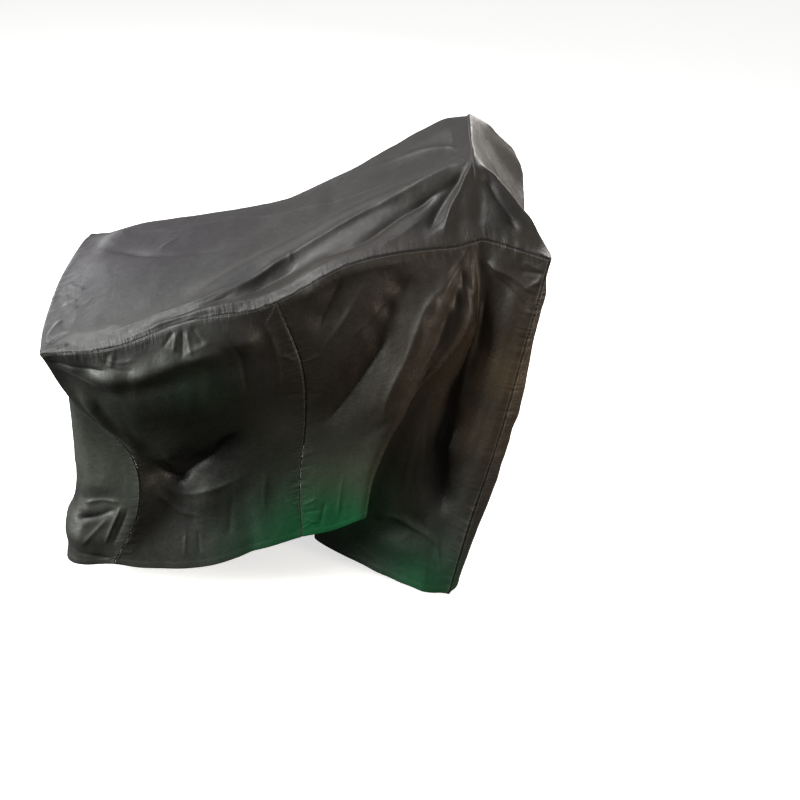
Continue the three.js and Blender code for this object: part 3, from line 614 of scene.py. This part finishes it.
def sheet_object(name, points, beside):
    """A sheet of cloth through a grid of points, with its faces outwards."""
    columns, rows = points.shape[:2]
    cloth = bmesh.new()
    bmesh.ops.create_grid(cloth, x_segments=columns - 1, y_segments=rows - 1, size=1, calc_uvs=False)
    for vertex, place in zip(cloth.verts, points.transpose(1, 0, 2).reshape(-1, 3)):
        vertex.co = place
    cloth.normal_update()
    if not face_outwards(cloth.faces):
        bmesh.ops.reverse_faces(cloth, faces=cloth.faces)
    for face in cloth.faces:
        face.smooth = True
    mesh = bpy.data.meshes.new(name)
    cloth.to_mesh(mesh)
    cloth.free()
    places = np.array([vertex.co for vertex in mesh.vertices])
    # Each point's colour, with the painted light, shade and reflections in it
    tint = mesh.attributes.new("colour_with_painted_light", "FLOAT_COLOR", "POINT")
    tint.data.foreach_set("color", colours_with_painted_light(places).ravel())
    seams = mesh.attributes.new("beside_seam", "FLOAT_VECTOR", "POINT")
    seams.data.foreach_set("vector", beside.transpose(1, 0, 2).ravel())
    sheet = bpy.data.objects.new(name, mesh)
    bpy.context.scene.collection.objects.link(sheet)
    return sheet


# Materials

def add(tree, kind, settings=None, **inputs):
    """Adds a node. Settings are its properties. Inputs are values or the sockets that feed them."""
    node = tree.nodes.new(kind)
    for name, value in (settings or {}).items():
        setattr(node, name, value)
    for name, value in inputs.items():
        socket = node.inputs[int(name[1:]) if name[1:].isdigit() else name.replace("_", " ")]
        if isinstance(value, bpy.types.NodeSocket):
            tree.links.new(value, socket)
        else:
            socket.default_value = value
    return node


# Uneven tone of the cloth, the painted shadow that darkens a seam's line, and the stitches along it
DRIFT = {"size": 0.12, "darkest": 0.8, "lightest": 1.2}
PAINTED_SEAM_SHADOW = {"inner": 1 * MM, "outer": 3.5 * MM, "shade": 0.25}
STITCH = {"length": 3 * MM, "share": 0.62, "away": 4.5 * MM, "thick": 1.1 * MM, "colour": "#6b6a64"}
# Fine crinkles, those that seams pull, which are stronger in tight stretches, and the sheen that they break
CRINKLE = {"size": 14 * MM, "height": 1 * MM, "roughness": 0.65}
SEAM_CRINKLE = {
    "reach": 60 * MM, "along": 8 * MM, "away": 60 * MM, "height": 3 * MM,
    "stretch": 90 * MM, "slack": 0.4, "tight": 0.62, "least": 0.25,
}
SHEEN = {"low": 0.3, "high": 0.7, "smooth": 0.44, "rough": 0.6, "ior": 1.5}


def coated_cloth():
    """Thin cloth with a coated back: near black, satin, finely crinkled, in uneven tints with painted
    light, shade and reflections.

    The fine crinkles give it a dull, broken sheen. Beside a seam they are deeper and run away from it, the
    seam itself is a dark line of painted shadow, and small stitches show along it.
    """
    material = bpy.data.materials.new("coated_cloth")
    material.use_nodes = True
    tree = material.node_tree
    tree.nodes.clear()
    place = add(tree, "ShaderNodeTexCoord").outputs["Object"]
    beside = add(tree, "ShaderNodeAttribute", {"attribute_name": "beside_seam"}).outputs["Vector"]
    along, away, stitched = add(tree, "ShaderNodeSeparateXYZ", Vector=beside).outputs

    # The cloth's colour at each point, with painted light, shade and reflections in it
    colour = add(tree, "ShaderNodeAttribute", {"attribute_name": "colour_with_painted_light"}).outputs["Color"]
    drift = add(tree, "ShaderNodeTexNoise", Vector=place, Scale=1 / DRIFT["size"], Detail=3).outputs["Fac"]
    shade = add(tree, "ShaderNodeMapRange", Value=drift, To_Min=DRIFT["darkest"],
                To_Max=DRIFT["lightest"]).outputs["Result"]
    # Painted shadow in the seam's groove: the colour darkens towards the seam
    painted_seam_shadow = add(tree, "ShaderNodeMapRange", Value=away, From_Min=PAINTED_SEAM_SHADOW["inner"],
                 From_Max=PAINTED_SEAM_SHADOW["outer"], To_Min=PAINTED_SEAM_SHADOW["shade"], To_Max=1).outputs["Result"]
    shade = add(tree, "ShaderNodeMath", {"operation": "MULTIPLY"}, _0=shade, _1=painted_seam_shadow).outputs[0]
    colour = add(tree, "ShaderNodeVectorMath", {"operation": "SCALE"}, _0=colour, Scale=shade).outputs[0]

    step = add(tree, "ShaderNodeMath", {"operation": "PINGPONG"}, _0=along, _1=STITCH["length"]).outputs[0]
    dash = add(tree, "ShaderNodeMath", {"operation": "LESS_THAN"}, _0=step,
               _1=STITCH["length"] * STITCH["share"]).outputs[0]
    line = add(tree, "ShaderNodeMath", {"operation": "COMPARE"}, _0=away, _1=STITCH["away"],
               _2=STITCH["thick"] / 2).outputs[0]
    thread = add(tree, "ShaderNodeMath", {"operation": "MULTIPLY"}, _0=dash, _1=line).outputs[0]
    thread = add(tree, "ShaderNodeMath", {"operation": "MULTIPLY"}, _0=thread, _1=stitched).outputs[0]
    colour = add(tree, "ShaderNodeMix", {"data_type": "RGBA"}, _0=thread, _6=colour,
                 _7=linear(STITCH["colour"])).outputs[2]

    gathered = add(tree, "ShaderNodeMapRange", {"interpolation_type": "SMOOTHSTEP"}, Value=away,
                   From_Min=0, From_Max=SEAM_CRINKLE["reach"], To_Min=1, To_Max=0).outputs["Result"]
    pulled = add(tree, "ShaderNodeMapping", Vector=beside,
                 Scale=(1 / SEAM_CRINKLE["along"], 1 / SEAM_CRINKLE["away"], 1)).outputs["Vector"]
    pulls = add(tree, "ShaderNodeTexNoise", Vector=pulled, Scale=1, Detail=3).outputs["Fac"]
    stretch = add(tree, "ShaderNodeTexNoise", Vector=place,
                  Scale=1 / SEAM_CRINKLE["stretch"]).outputs["Fac"]
    stretch = add(tree, "ShaderNodeMapRange", Value=stretch, From_Min=SEAM_CRINKLE["slack"],
                  From_Max=SEAM_CRINKLE["tight"], To_Min=SEAM_CRINKLE["least"],
                  To_Max=1).outputs["Result"]
    gathered = add(tree, "ShaderNodeMath", {"operation": "MULTIPLY"}, _0=gathered, _1=stretch).outputs[0]
    pulls = add(tree, "ShaderNodeMath", {"operation": "MULTIPLY"}, _0=pulls, _1=gathered).outputs[0]
    crinkle = add(tree, "ShaderNodeTexNoise", Vector=place, Scale=1 / CRINKLE["size"], Detail=4,
                  Roughness=CRINKLE["roughness"]).outputs["Fac"]
    height = add(tree, "ShaderNodeMath", {"operation": "MULTIPLY_ADD"}, _0=pulls,
                 _1=SEAM_CRINKLE["height"] / CRINKLE["height"], _2=crinkle).outputs[0]
    bump = add(tree, "ShaderNodeBump", Strength=1, Distance=CRINKLE["height"], Height=height)
    gloss = add(tree, "ShaderNodeMapRange", Value=crinkle, From_Min=SHEEN["low"], From_Max=SHEEN["high"],
                To_Min=SHEEN["smooth"], To_Max=SHEEN["rough"]).outputs["Result"]
    surface = add(tree, "ShaderNodeBsdfPrincipled", Base_Color=colour, Roughness=gloss,
                  IOR=SHEEN["ior"], Normal=bump.outputs["Normal"])
    add(tree, "ShaderNodeOutputMaterial", Surface=surface.outputs["BSDF"])
    return material


# Stage

CAMERA_PLACE = (-0.26988, -2.63990, 0.90405)
CAMERA_AIM = (0.02948, 0.84550, -0.53316)
LENS_MM = 49.5
FLOOR = {"size": 80, "drop": 1 * MM}
BACKDROP = {"radius": 39, "around": 48, "up": 24}
# Own colour and own glow of the stage, which the camera sees and the cloth doesn't
STAGE = {
    "floor": {"colour": "#f4f4f2", "glow": 0.65},
    "backdrop": {"colour": "#000000", "glow": 0.88},
}
STAGE_ROUGHNESS = 0.9


def make_camera():
    camera = bpy.data.objects.new("camera", bpy.data.cameras.new("camera"))
    camera.location = CAMERA_PLACE
    camera.rotation_euler = Vector(CAMERA_AIM).to_track_quat("-Z", "Y").to_euler()
    camera.data.lens = LENS_MM
    bpy.context.scene.collection.objects.link(camera)
    bpy.context.scene.camera = camera


def stage_object(name, shape):
    mesh = bpy.data.meshes.new(name)
    shape.to_mesh(mesh)
    shape.free()
    piece = bpy.data.objects.new(name, mesh)
    bpy.context.scene.collection.objects.link(piece)
    material = bpy.data.materials.new("pale_" + name)
    material.use_nodes = True
    shader = material.node_tree.nodes["Principled BSDF"]
    shader.inputs["Base Color"].default_value = linear(STAGE[name]["colour"])
    shader.inputs["Roughness"].default_value = STAGE_ROUGHNESS
    shader.inputs["Emission Color"].default_value = linear("#ffffff")
    shader.inputs["Emission Strength"].default_value = STAGE[name]["glow"]
    mesh.materials.append(material)
    piece.visible_diffuse = False
    piece.visible_glossy = False
    return piece


def make_stage():
    slab = bmesh.new()
    bmesh.ops.create_grid(slab, x_segments=1, y_segments=1, size=FLOOR["size"] / 2)
    bmesh.ops.translate(slab, verts=slab.verts, vec=(0, 0, cad_box[0].z - FLOOR["drop"]))
    stage_object("floor", slab)
    dome = bmesh.new()
    bmesh.ops.create_uvsphere(dome, u_segments=BACKDROP["around"], v_segments=BACKDROP["up"],
                              radius=BACKDROP["radius"])
    backdrop = stage_object("backdrop", dome)
    backdrop.visible_shadow = False


# Area lights: place and aim in metres from the origin, size in metres, power in watts
LIGHTS = {
    "key": {
        "place": (-2.5, -0.5, 2.0), "aim": (-0.5, 0, -0.5),
        "size": 1.4, "power": 115, "colour": "#ffffff",
    },
    "overhead": {
        "place": (-0.6, 0.6, 2.8), "aim": (-0.45, 0, -0.5),
        "size": 1.6, "power": 25, "colour": "#f8f6ff",
    },
    "back": {
        "place": (2.1, 2.9, 1.5), "aim": (-0.1, 0, -0.2),
        "size": 2.4, "power": 200, "colour": "#fffaf4",
    },
    "low back": {
        "place": (-3.0, 2.3, 0.0), "aim": (-0.9, 0, -0.4),
        "size": 1.4, "power": 55, "colour": "#ffffff",
    },
    "left": {
        "place": (-3.6, -0.85, 0.1), "aim": (-0.5, 0, -0.7),
        "size": 1.2, "power": 125, "colour": "#fbfff6",
    },
    "end": {
        "place": (3.0, -0.4, -0.4), "aim": (0.1, 0, -0.6),
        "size": 1.2, "power": 45, "colour": "#fff6ea",
    },
    "right": {
        "place": (1.3, -1.3, -0.4), "aim": (0.0, -0.2, -0.6),
        "size": 0.8, "power": 17, "colour": "#ffeeda",
    },
}
# Brightness of the sky straight up, at the horizon and below it, and the height over which it fades
SKY = {"up": 0.32, "level": 0.14, "down": 0.01, "fade": 0.2}


def make_lights():
    for name, light in LIGHTS.items():
        lamp = bpy.data.objects.new(name, bpy.data.lights.new(name, "AREA"))
        lamp.location = light["place"]
        aim = Vector(light["aim"]) - lamp.location
        lamp.rotation_euler = aim.to_track_quat("-Z", "Y").to_euler()
        lamp.data.size = light["size"]
        lamp.data.energy = light["power"]
        lamp.data.color = linear(light["colour"])[:3]
        bpy.context.scene.collection.objects.link(lamp)


def make_sky():
    world = bpy.data.worlds.new("studio")
    world.use_nodes = True
    tree = world.node_tree
    tree.nodes.clear()
    way = add(tree, "ShaderNodeTexCoord").outputs["Generated"]
    height = add(tree, "ShaderNodeSeparateXYZ", Vector=way).outputs["Z"]
    above = add(tree, "ShaderNodeMapRange", Value=height, From_Min=0, From_Max=1, To_Min=SKY["level"],
                To_Max=SKY["up"]).outputs["Result"]
    below = add(tree, "ShaderNodeMapRange", Value=height, From_Min=-SKY["fade"], From_Max=0,
                To_Min=SKY["down"] - SKY["level"], To_Max=0).outputs["Result"]
    strength = add(tree, "ShaderNodeMath", {"operation": "ADD"}, _0=above, _1=below).outputs[0]
    sky = add(tree, "ShaderNodeBackground", Color=linear("#ffffff"), Strength=strength)
    add(tree, "ShaderNodeOutputWorld", Surface=sky.outputs[0])
    bpy.context.scene.world = world
    bpy.context.scene.view_settings.view_transform = "Standard"


# The cover

make_camera()
make_stage()
make_lights()
make_sky()
cloth_material = coated_cloth()
for name, panel in PANELS.items():
    skin = outer_skin(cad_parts[name])
    grid = point_grid(skin, panel["first"], panel["across"])
    skin.free()
    points, beside = draped(name, refined(grid, panel["fine"]), panel["sewn"], panel["stitched"])
    sheet = sheet_object(name + "_cloth", points, beside)
    sheet.data.materials.append(cloth_material)
    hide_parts(name)
    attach(sheet, "root")
